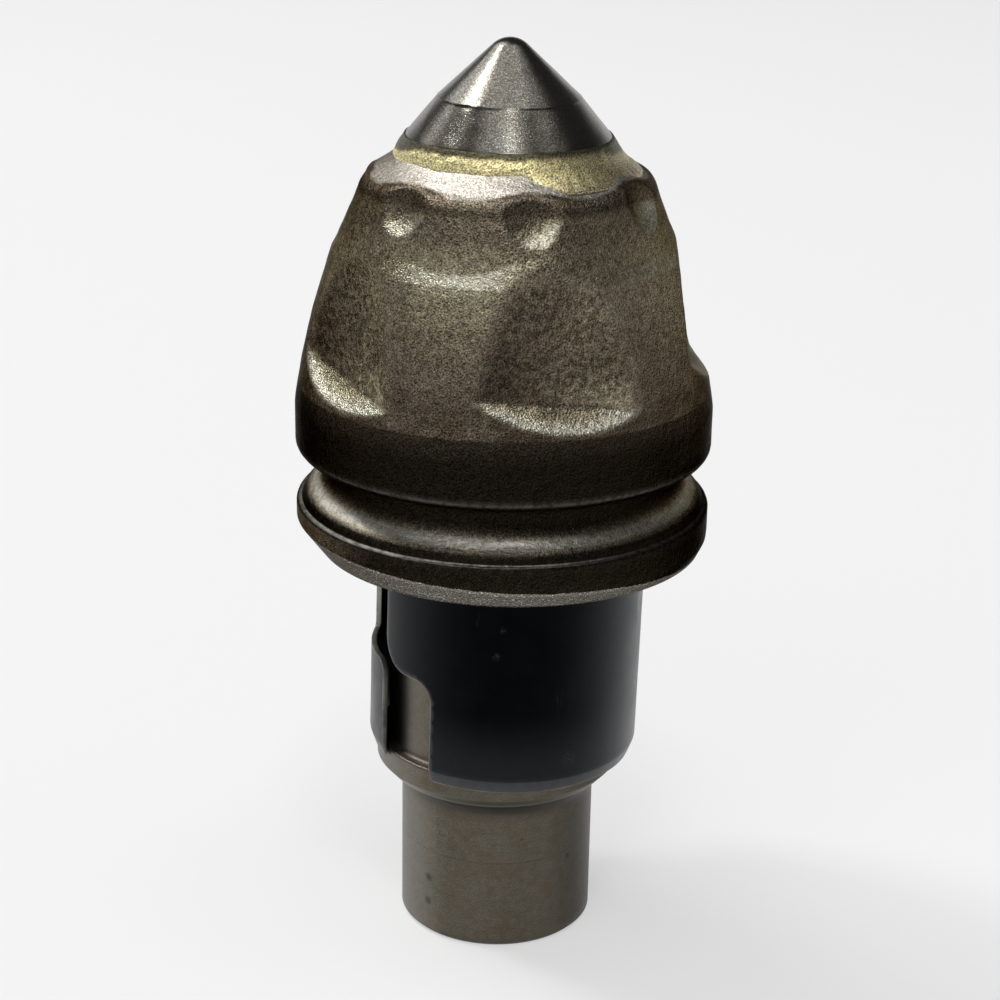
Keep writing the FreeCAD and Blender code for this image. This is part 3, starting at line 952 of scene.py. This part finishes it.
def body_grid(sizes):
    """Points of the whole forging in millimetres, its masks and the count of the shank's rows."""
    turn = full_round(sizes.columns)
    radius, height, shank_rows, worn_rows, neck_end, head_to = body_rows(turn)
    head_from = neck_end - BAND_ROWS
    dimples = np.cos(DIMPLE_COUNT * around(turn, DIMPLE_FIRST))
    rim = slice(head_from, head_to + RIM_ROWS)
    height[rim] += sizes.rim_wave / MM * dimples * within(height[rim], RIM_WAVE_BAND)

    head = slice(head_from, head_to)
    recess, side, depth = np.zeros((3,) + radius.shape)
    soft, hollow = sizes.recess_round / MM, sizes.land_hollow / MM
    shaped = head_radius(radius[head], height[head], turn[None, :], soft, hollow)
    radius[head], recess[head], side[head], depth[head] = shaped

    points = ring_points(radius, height, turn)
    out = grid_normals(points)
    skin = slice(head_from - SKIN_ROWS[0], head_to + SKIN_ROWS[1])
    waves = layered(points[skin], WAVES) * within(height[skin], FORGED_BAND)
    pits = np.maximum(0.0, layered(points[skin], PITS) - PIT_FROM) * recess[skin]
    relief = np.zeros_like(radius)
    relief[skin] = sizes.hammer_depth / MM * waves - 2.0 * sizes.pit_depth / MM * pits
    relief = np.minimum(relief, np.maximum(0.0, BODY_LIMIT - radius))
    points = points + out * relief[..., None]

    angle = np.broadcast_to(turn, radius.shape)
    right = np.sin(angle)
    # Convex edges, for edge wear and a painted highlight
    edge = np.clip(convex(points, out, 2) / EDGE_STAND, 0.0, 1.0)
    bare = np.zeros_like(radius)
    bare[shank_rows - 2:shank_rows + worn_rows] = 1.0
    wavy = TOP_WAVE * dimples + TOP_UNEVEN * lumps(points[head_to - 1], 3.0, 17.0)
    masks = {
        "recess": recess,
        # Painted light and shade by facing and place, with some wear
        "wear_and_light": wear_and_light_mask(points, height, angle, recess, side, depth, edge),
        "edge": edge,
        "bare": bare,
        "top": fade(height - wavy, *TOP_EDGE),
        # Painted highlight lines
        "lines": line_mask(radius, height, angle),
        # Painted light on the left of the shank and tail, painted shade on their right
        "pale": fade(-right, 0.435, 0.89) - 0.6 * fade(right, 0.48, 0.89),
        # Painted shade in the cove and behind the slit, darker at the tail's end
        "painted_shade": painted_shade_mask(height, angle, shank_rows),
    }
    return points, masks, shank_rows


class CUTTERPICK_OT_body(bpy.types.Operator):
    """Make the forged body with its head, groove, flange, shank and tail"""

    bl_idname = "cutter_pick.body"
    bl_label = "Forged body"

    def execute(self, context):
        sizes = context.scene.pick_forging
        points, masks, shank_rows = body_grid(sizes)
        mesh = turned_mesh("forged_body", points, masks)
        mesh.materials.append(forged_material(sizes))
        mesh.materials.append(turned_material(context.scene.pick_turned))
        # The shank's rows and the fan of the tail's end are turned steel, the rest is forged
        rows, columns = points.shape[:2]
        index = np.zeros(len(mesh.polygons), np.int32)
        index[:(shank_rows - 3) * columns] = 1
        index[(rows - 1) * columns::2] = 1
        mesh.polygons.foreach_set("material_index", index)
        placed("forged_body", mesh, "pick", "pick_body")
        return {"FINISHED"}


# Carbide tip

CARBIDE_START = (4.0, 113.0)
CARBIDE_LEGS = (
    (8.4, 113.0, 0.0, 1), (9.6, 114.2, 0.0, 1), (9.6, 121.6, 0.0, 1), (14.6, 121.6, 0.0, 2),
    (15.0, 122.0, 0.12, 2), (15.0, 123.9, 0.0, 5), (14.86, 124.25, 0.04, 2), (10.42, 129.6, 0.0, 18),
    (10.22, 129.85, 0.04, 2),
)
CONE_SLOPE = 1.06
NOSE_R = 3.7
NOSE_END = 0.06
CARBIDE_TOP = 138.0
# Heights and half widths of the nicked edges, of the ground skin and of the painted shade line at the step
CARBIDE_EDGES = ((129.7, 0.35), (124.0, 0.4))
CARBIDE_SKIN_BAND = (124.0, 125.0, 136.5, 138.0)
STEP_SHADE = (129.65, 0.15, 0.4)
# Painted shade on the carbide's foot towards the braze
FOOT_SHADE = 0.4


class CUTTERPICK_OT_carbide(bpy.types.Operator):
    """Make the sintered carbide point with its two cones and soft nose"""

    bl_idname = "cutter_pick.carbide"
    bl_label = "Carbide tip"

    def execute(self, context):
        sizes = context.scene.pick_carbide
        rows = outline(CARBIDE_START, CARBIDE_LEGS)
        centre = CARBIDE_TOP - NOSE_R
        slant = math.atan(CONE_SLOPE)
        turns = np.linspace(slant, NOSE_END, 9)
        nose = [(NOSE_R * math.sin(a), centre + NOSE_R * math.cos(a)) for a in turns]
        rows = np.concatenate((rows, bow(rows[-1], nose[0], 0.0, 24), nose[1:]))
        turn = full_round(sizes.columns)
        radius = np.repeat(rows[:, :1], sizes.columns, 1)
        height = np.repeat(rows[:, 1:], sizes.columns, 1)
        points = ring_points(radius, height, turn)
        relief = -0.05 * np.abs(lumps(points, 4.0)) * within(height, CARBIDE_SKIN_BAND)
        nicks = np.maximum(0.0, lumps(points, 1.6, 3.0) - 0.25) * 0.35
        edges = sum(stripe(height, *edge) for edge in CARBIDE_EDGES)
        points = points + grid_normals(points) * (relief - 0.5 * nicks * edges)[..., None]
        wave = sizes.edge_wave / MM * lumps(ring_points(radius, 0.0 * height, turn), 3.0, 7.0)
        # Painted shade towards the braze and on the step's line
        painted_shade = FOOT_SHADE * (1.0 - fade(height + wave * 2.0, 124.4, 125.2)) + stripe(height, *STEP_SHADE)
        mesh = turned_mesh("carbide_point", points, {"painted_shade": np.clip(painted_shade, 0.0, 1.0)})
        mesh.materials.append(carbide_material(sizes))
        placed("carbide_point", mesh, "pick", "carbide_tip")
        return {"FINISHED"}


# Braze

BRAZE_LIP = 124.2
# Height where the painted shade at the braze's top begins
BRAZE_SHADE_Z = 123.5
SEAT_Z = 122.1
SEAT_R = 15.6
TOP_FALL = 0.727
CARBIDE_R = 14.95
# Foot of the braze: its radius, its lumps, how far it may reach, and how it has run out right and behind
BRAZE_FOOT = 16.5
FOOT_LUMPS = ((0.3, 7.0, 2.0), (0.2, 2.2, 9.0))
FOOT_REACH = (16.1, 19.4)
RUN_OUT = 2.9
RUN_OUT_BAND = (0.08, 0.42, 1.7, 2.4)
BACK_RUN_DEG = 200.0
BACK_RUN = (0.0, 0.5, 1.6)
LIP_LUMPS = ((0.06, 2.6, 4.0),)
BRAZE_SHADE_LUMPS = ((0.16, 2.6, 4.0), (0.1, 1.2, 8.0))
BRAZE_GRAINS = ((1.0, 0.9, 1.0), (0.7, 2.0, 6.0))
FILLET_REACH = 2.6
FILLET_POWER = 2.2
FILM = 0.16
BRAZE_ROWS = 14
# Hidden underside of the ring
UNDER_ROWS = ((14.95, 121.5), (15.4, 121.0), (16.4, 120.6))


class CUTTERPICK_OT_braze(bpy.types.Operator):
    """Make the uneven run-out braze between the carbide and the head"""

    bl_idname = "cutter_pick.braze"
    bl_label = "Braze"

    def execute(self, context):
        sizes = context.scene.pick_braze
        columns = sizes.columns
        turn = full_round(columns)
        ring = ring_points(np.full(columns, 16.0), np.zeros(columns), turn)
        foot = BRAZE_FOOT + sizes.spread / MM * layered(ring, FOOT_LUMPS)
        foot += RUN_OUT * within(around(turn, 0.0), RUN_OUT_BAND)
        foot += stripe(around(turn, BACK_RUN_DEG), *BACK_RUN)
        foot = np.clip(foot, *FOOT_REACH)
        lip = BRAZE_LIP + layered(ring, LIP_LUMPS)
        # Painted shade at the top of the fillet under the carbide, beginning lower at the sides
        shaded_from = BRAZE_SHADE_Z + layered(ring, BRAZE_SHADE_LUMPS) - 1.1 * fade(np.abs(np.sin(turn)), 0.8, 1.0)

        def face(r):
            return SEAT_Z - np.maximum(0.0, r - SEAT_R) * TOP_FALL

        radius, height, thin, shade = [], [], [], []
        for i in range(BRAZE_ROWS + 1):
            t = i / BRAZE_ROWS
            r = foot + (CARBIDE_R - foot) * t
            fillet = np.clip(1.0 - (r - CARBIDE_R) / FILLET_REACH, 0.0, 1.0) ** FILLET_POWER
            film = FILM * np.sqrt(np.clip(t * 4.0, 0.0, 1.0))
            radius.append(r)
            height.append(face(r) + np.maximum(0.0, lip - face(r)) * fillet + film - 0.12 * (i == 0))
            thin.append(np.maximum(fade(r, 17.0, 19.5), 0.8 * fade(np.sin(turn), 0.34, 0.84)))
            shade.append(fade(height[-1], shaded_from - 0.3, shaded_from + 0.25))
        for r, z in UNDER_ROWS:
            for values, value in ((radius, r), (height, z), (thin, 0.0), (shade, 1.0)):
                values.append(np.full(columns, value))
        points = ring_points(np.array(radius), np.array(height), turn)
        over = slice(1, BRAZE_ROWS)
        points[over, :, 2] += sizes.lump / MM * layered(points, BRAZE_GRAINS)[over]
        faces = grid_faces(len(radius), columns, closed=True)
        mesh = smooth_mesh("braze_ring", points, faces, {"thin": thin, "shade": shade})
        mesh.materials.append(braze_material(sizes))
        placed("braze_ring", mesh, "pick", "braze_joint")
        return {"FINISHED"}


# Spring sleeve

SLEEVE_OUT = 20.75
SLEEVE_WALL = 0.9
SLEEVE_LOW = 29.3
SLEEVE_TOP = 62.4
SLEEVE_LEAD = 2.1
SLEEVE_LEAD_IN = 0.75
SLEEVE_HANG = 0.65
SLEEVE_LEAN = 1.0
SLIT_Z = 45.4
# Corners of the unrolled strip, counterclockwise: angle in degrees, height and rounding
STRIP_CORNERS = (
    (-32.1, SLEEVE_LOW, 0.5), (297.4, SLEEVE_LOW, 0.5), (297.4, SLIT_Z, 2.2), (258.5, SLIT_Z, 0.8),
    (258.5, SLEEVE_TOP, 0.5), (-60.0, SLEEVE_TOP, 0.5), (-60.0, SLIT_Z, 5.0), (-32.1, SLIT_Z, 3.2),
)
CORNER_STEPS = 10
EDGE_STEPS = 3


def strip_loop(inset, cell):
    """Outline of the unrolled strip, drawn in by an inset, with as many points for every inset."""
    corners = np.array([(math.radians(angle) * SLEEVE_OUT, z) for angle, z, _ in STRIP_CORNERS])
    ways = np.roll(corners, -1, 0) - corners
    lengths = np.abs(ways).sum(1)
    ways = ways / lengths[:, None]
    steps = np.linspace(0.0, math.pi / 2.0, CORNER_STEPS + 1)[:, None]
    arcs = []
    for i, (_, _, rounding) in enumerate(STRIP_CORNERS):
        come, go = ways[i - 1], ways[i]
        inwards = np.array((-come[1] - go[1], come[0] + go[0]))
        convex_way = come[0] * go[1] - come[1] * go[0]
        bend = rounding - convex_way * inset
        middle = corners[i] + inwards * inset - come * bend + go * bend
        arcs.append(middle - go * bend * np.cos(steps) + come * bend * np.sin(steps))
    loop = []
    for i, arc in enumerate(arcs):
        count_along = max(2, int(round(lengths[i] / cell)))
        t = np.arange(1, count_along)[:, None] / count_along
        loop += [arc, arc[-1] + (arcs[(i + 1) % len(arcs)][0] - arc[-1]) * t]
    return np.concatenate(loop)


def inside_loop(points, loop):
    """Whether each point lies inside a closed loop."""
    x = points[:, None, 0]
    y = points[:, None, 1]
    after = np.roll(loop, -1, 0)
    rise = after[:, 1] - loop[:, 1]
    level = np.where(rise == 0.0, 1.0, rise)
    at = loop[:, 0] + (y - loop[:, 1]) * (after[:, 0] - loop[:, 0]) / level
    crossed = ((loop[:, 1] > y) != (after[:, 1] > y)) & (x < at)
    return crossed.sum(1) % 2 == 1


def nearest(points, loop):
    """Distance from each point to the nearest point of a loop."""
    return np.sqrt(((points[:, None] - loop[None]) ** 2).sum(-1)).min(1)


def strip_fill(loop, cell):
    """Points and triangles of the strip within its loop: the loop's own points come first."""
    crease = SLEEVE_LOW + SLEEVE_LEAD
    levels = np.concatenate((np.arange(SLEEVE_LOW, crease - 0.2, cell), (crease - 0.12, crease + 0.12),
                             np.arange(crease + cell, SLEEVE_TOP, cell)))
    across = np.arange(loop[:, 0].min(), loop[:, 0].max(), cell)
    grid = np.stack(np.meshgrid(across, levels), -1).reshape(-1, 2)
    grid = grid[inside_loop(grid, loop)]
    grid = grid[nearest(grid, loop) > 0.45 * cell]
    flat = [Vector(p) for p in np.concatenate((loop, grid)).tolist()]
    made = geometry.delaunay_2d_cdt(flat, [], [list(range(len(loop)))], 1, 1e-7)
    spots, faces, sources = made[0], made[2], made[3]
    number = {i: given[0] for i, given in enumerate(sources) if given}
    assert len(number) == len(spots) == len(flat)
    return np.array(flat), [tuple(number[i] for i in face) for face in faces]


def outer_radius(height):
    """Outside of the sleeve by height: its lower edge is drawn in by the lead."""
    lead = np.clip((SLEEVE_LOW + SLEEVE_LEAD - height) / SLEEVE_LEAD, 0.0, 1.0)
    return SLEEVE_OUT - SLEEVE_LEAD_IN * lead


def rolled(flat, depth, inner_side, marks):
    """Points of the unrolled strip rolled to the sleeve, at a depth under its outer or inner side."""
    turn = flat[:, 0] / SLEEVE_OUT
    height = flat[:, 1]
    outer = outer_radius(height)
    inner = np.full_like(height, SLEEVE_OUT - SLEEVE_WALL)
    most = 0.45 * (outer - inner)
    shift = np.minimum(depth, most)
    radius = inner + shift if inner_side else outer - shift
    sway = 0.05 * lumps(ring_points(radius, height, turn), 11.0, 2.0)
    for degrees_round, z, deep, wide in marks:
        sway -= deep * spot(turn, height, degrees_round, z, wide * 1.4, wide)
    points = ring_points(radius + sway, height, turn)
    lean = math.radians(SLEEVE_LEAN)
    x = points[:, 0]
    rise = points[:, 2] - SLEEVE_LOW
    leaned = (x * math.cos(lean) + rise * math.sin(lean) + SLEEVE_HANG, points[:, 1],
              SLEEVE_LOW + rise * math.cos(lean) - x * math.sin(lean))
    return np.stack(leaned, -1)


# Dents: angle in degrees, height, depth and width
SLEEVE_DENTS = (
    (77.0, 54.5, 0.25, 1.1), (20.0, 38.0, 0.05, 2.4), (-8.0, 52.0, 0.04, 1.8), (150.0, 44.0, 0.1, 2.0),
)
WEAR_WIDE = 0.55
LEAD_WEAR = 0.55
# Painted sheen: share and power on the right and left, and share by height, lighter towards the bottom
SHEEN_RIGHT = (0.42, 4)
SHEEN_LEFT = (0.25, 3)
SHEEN_LOW = ((0.16, 31.3, 31.6), (0.08, 32.0, 43.0))


class CUTTERPICK_OT_sleeve(bpy.types.Operator):
    """Make the spring sleeve from its rolled strip with the stepped slit and rubbed cut edges"""

    bl_idname = "cutter_pick.sleeve"
    bl_label = "Spring sleeve"

    def execute(self, context):
        sizes = context.scene.pick_sleeve
        cell = sizes.cell / MM
        edge = sizes.edge_round / MM
        loop = strip_loop(edge, cell)
        flat, faces = strip_fill(loop, cell)
        count_loop = len(loop)
        bends = np.linspace(0.0, math.pi / 2.0, EDGE_STEPS + 1)
        rims = [(a, False) for a in bends[1:]] + [(a, True) for a in bends[:0:-1]]
        layers = [rolled(flat, 0.0, False, SLEEVE_DENTS)]
        for a, inner_side in rims:
            ring = strip_loop(edge * (1.0 - math.sin(a)), cell)
            layers.append(rolled(ring, edge * (1.0 - math.cos(a)), inner_side, SLEEVE_DENTS))
        layers.append(rolled(flat, 0.0, True, SLEEVE_DENTS))
        starts = np.cumsum([0] + [len(layer) for layer in layers])
        polygons = list(faces) + [tuple(starts[-2] + i for i in reversed(face)) for face in faces]
        fills = len(polygons)
        for a, b in zip(starts[:-2], starts[1:-1]):
            for i in range(count_loop):
                k = (i + 1) % count_loop
                polygons.append((a + i, b + i, b + k, a + k))

        away = nearest(flat, strip_loop(0.0, cell))
        wear = stripe(away, 0.0, WEAR_WIDE) + LEAD_WEAR * (1.0 - fade(flat[:, 1], 31.2, 31.6))
        wear = np.clip(np.concatenate([wear] + [np.ones(count_loop)] * len(rims) + [wear]), 0.0, 1.0)
        places = np.concatenate([flat] + [loop] * len(rims) + [flat])
        right = np.sin(places[:, 0] / SLEEVE_OUT)
        # Painted sheen: lighter on the right and left sides and towards the bottom
        painted_sheen = sum(share * np.maximum(0.0, way * right) ** power
                   for way, (share, power) in ((1.0, SHEEN_RIGHT), (-1.0, SHEEN_LEFT)))
        painted_sheen = painted_sheen + sum(share * (1.0 - fade(places[:, 1], low, high)) for share, low, high in SHEEN_LOW)
        mesh = smooth_mesh("retainer_sleeve", np.concatenate(layers), polygons, {"wear": wear, "painted_sheen": painted_sheen})
        mesh.materials.append(sleeve_material(sizes))
        mesh.materials.append(cut_edge_material(sizes))
        index = np.zeros(len(polygons), np.int32)
        index[fills:] = 1
        mesh.polygons.foreach_set("material_index", index)
        placed("spring_sleeve", mesh, "sleeve", "retainer_sleeve")
        return {"FINISHED"}


# Stage


def direction(azimuth, elevation):
    """Direction from the object, with the azimuth counted from -Y towards +X, in degrees."""
    a = math.radians(azimuth)
    e = math.radians(elevation)
    return np.array((math.sin(a) * math.cos(e), -math.cos(a) * math.cos(e), math.sin(e)))


LAMP_AWAY = 3.0
LAMP_AIM = (0.0, 0.0, 0.07)
# Lamps: name, azimuth and elevation in degrees, width and height in metres, and the name of its brightness
LAMPS = (
    ("key_lamp", -128.0, 53.0, 1.2, 2.5, "key"),
    ("side_lamp", -108.0, 56.5, 0.46, 0.46, "strip"),
    ("right_panel", 84.0, 66.0, 1.3, 1.3, "right"),
    ("front_lamp", 3.0, 61.0, 0.55, 0.45, "small"),
    ("top_lamp", -20.0, 80.0, 1.9, 1.9, "overhead"),
    ("front_panel", -28.0, 37.0, 2.4, 1.3, "front"),
)
FLOOR_REACH = 15.0
FLOOR_CORNERS = 64
FLOOR_DROP = 0.00002
# Directions' rise over which the wall turns into the ceiling
CEILING_FROM = (0.20, 0.36)


def frame_of(side, up, away, place):
    """Placement with the given axes and place."""
    return Matrix(np.column_stack((side, up, away, place)).tolist() + [[0.0, 0.0, 0.0, 1.0]])


def softbox(name, azimuth, elevation, width, height, glow):
    """Area lamp of a plain brightness that faces the middle of the pick."""
    lamp = bpy.data.lights.new(name, "AREA")
    lamp.shape = "RECTANGLE"
    lamp.size = width
    lamp.size_y = height
    lamp.energy = glow * math.pi * width * height
    holder = bpy.data.objects.new(name, lamp)
    bpy.context.scene.collection.objects.link(holder)
    away = direction(azimuth, elevation)
    side = np.cross((0.0, 0.0, 1.0), away)
    side /= np.linalg.norm(side)
    holder.matrix_world = frame_of(side, np.cross(away, side), away, away * LAMP_AWAY + np.array(LAMP_AIM))


def make_floor(scene, looks):
    """Large round floor just under the pick."""
    ring = [(FLOOR_REACH * math.cos(a), FLOOR_REACH * math.sin(a), 0.0) for a in full_round(FLOOR_CORNERS)]
    mesh = bpy.data.meshes.new("floor")
    mesh.from_pydata(ring, [], [tuple(range(FLOOR_CORNERS))])
    mesh.materials.append(floor_material(looks))
    floor = bpy.data.objects.new("floor", mesh)
    scene.collection.objects.link(floor)
    floor.location.z = -FLOOR_DROP


def make_world(scene, looks):
    """Studio's surroundings: a pale wall under a dark ceiling."""
    world = bpy.data.worlds.new("studio")
    world.use_nodes = True
    world.node_tree.nodes.clear()
    w = Wiring(world.node_tree)
    rise = w.add("ShaderNodeSeparateXYZ", {0: w.add("ShaderNodeTexCoord").outputs["Generated"]}).outputs[2]
    tone = w.mix(w.span(rise, *CEILING_FROM), looks.wall, looks.ceiling)
    back = w.add("ShaderNodeBackground", {"Color": tone, "Strength": 1.0})
    w.add("ShaderNodeOutputWorld", {"Surface": back.outputs[0]})
    scene.world = world


def make_camera(scene, looks):
    """Camera at the photo's place and angle."""
    pitch, roll, yaw = looks.camera_pitch, looks.camera_roll, looks.camera_yaw
    ahead = np.array((math.sin(yaw) * math.cos(pitch), math.cos(yaw) * math.cos(pitch), -math.sin(pitch)))
    right = np.array((math.cos(yaw), -math.sin(yaw), 0.0))
    up = np.cross(right, ahead)
    camera_right = math.cos(roll) * right + math.sin(roll) * up
    camera_up = -math.sin(roll) * right + math.cos(roll) * up
    camera = bpy.data.cameras.new("camera")
    camera.sensor_width = 36.0
    camera.lens = looks.lens
    camera.clip_start = 0.01
    holder = bpy.data.objects.new("camera", camera)
    scene.collection.objects.link(holder)
    place = (0.0, -looks.camera_back, looks.camera_up)
    holder.matrix_world = frame_of(camera_right, camera_up, -ahead, place)
    scene.camera = holder


class CUTTERPICK_OT_stage(bpy.types.Operator):
    """Set the floor, the lamps, the studio's surroundings and the camera"""

    bl_idname = "cutter_pick.stage"
    bl_label = "Stage"

    def execute(self, context):
        scene = context.scene
        looks = scene.pick_studio
        make_floor(scene, looks)
        for name, azimuth, elevation, width, height, glow in LAMPS:
            softbox(name, azimuth, elevation, width, height, getattr(looks, glow))
        make_world(scene, looks)
        make_camera(scene, looks)
        scene.view_settings.view_transform = "Standard"
        return {"FINISHED"}


class CUTTERPICK_PT_parts(bpy.types.Panel):
    """Lists the pick's pieces"""

    bl_label = "Cutter pick"
    bl_space_type = "VIEW_3D"
    bl_region_type = "UI"
    bl_category = "Cutter pick"

    def draw(self, context):
        for step in STEPS:
            self.layout.operator(step.bl_idname)


SETTINGS = (
    ("pick_forging", ForgingSettings),
    ("pick_turned", TurnedSettings),
    ("pick_carbide", CarbideSettings),
    ("pick_braze", BrazeSettings),
    ("pick_sleeve", SleeveSettings),
    ("pick_studio", StudioSettings),
)
STEPS = (
    CUTTERPICK_OT_body,
    CUTTERPICK_OT_carbide,
    CUTTERPICK_OT_braze,
    CUTTERPICK_OT_sleeve,
    CUTTERPICK_OT_stage,
)


def register():
    for name, settings in SETTINGS:
        bpy.utils.register_class(settings)
        setattr(bpy.types.Scene, name, bpy.props.PointerProperty(type=settings))
    for step in STEPS:
        bpy.utils.register_class(step)
    bpy.utils.register_class(CUTTERPICK_PT_parts)


def unregister():
    bpy.utils.unregister_class(CUTTERPICK_PT_parts)
    for step in reversed(STEPS):
        bpy.utils.unregister_class(step)
    for name, settings in reversed(SETTINGS):
        delattr(bpy.types.Scene, name)
        bpy.utils.unregister_class(settings)


def main():
    register()
    bpy.ops.cutter_pick.body()
    bpy.ops.cutter_pick.carbide()
    bpy.ops.cutter_pick.braze()
    bpy.ops.cutter_pick.sleeve()
    bpy.ops.cutter_pick.stage()


if __name__ == "__main__":
    main()
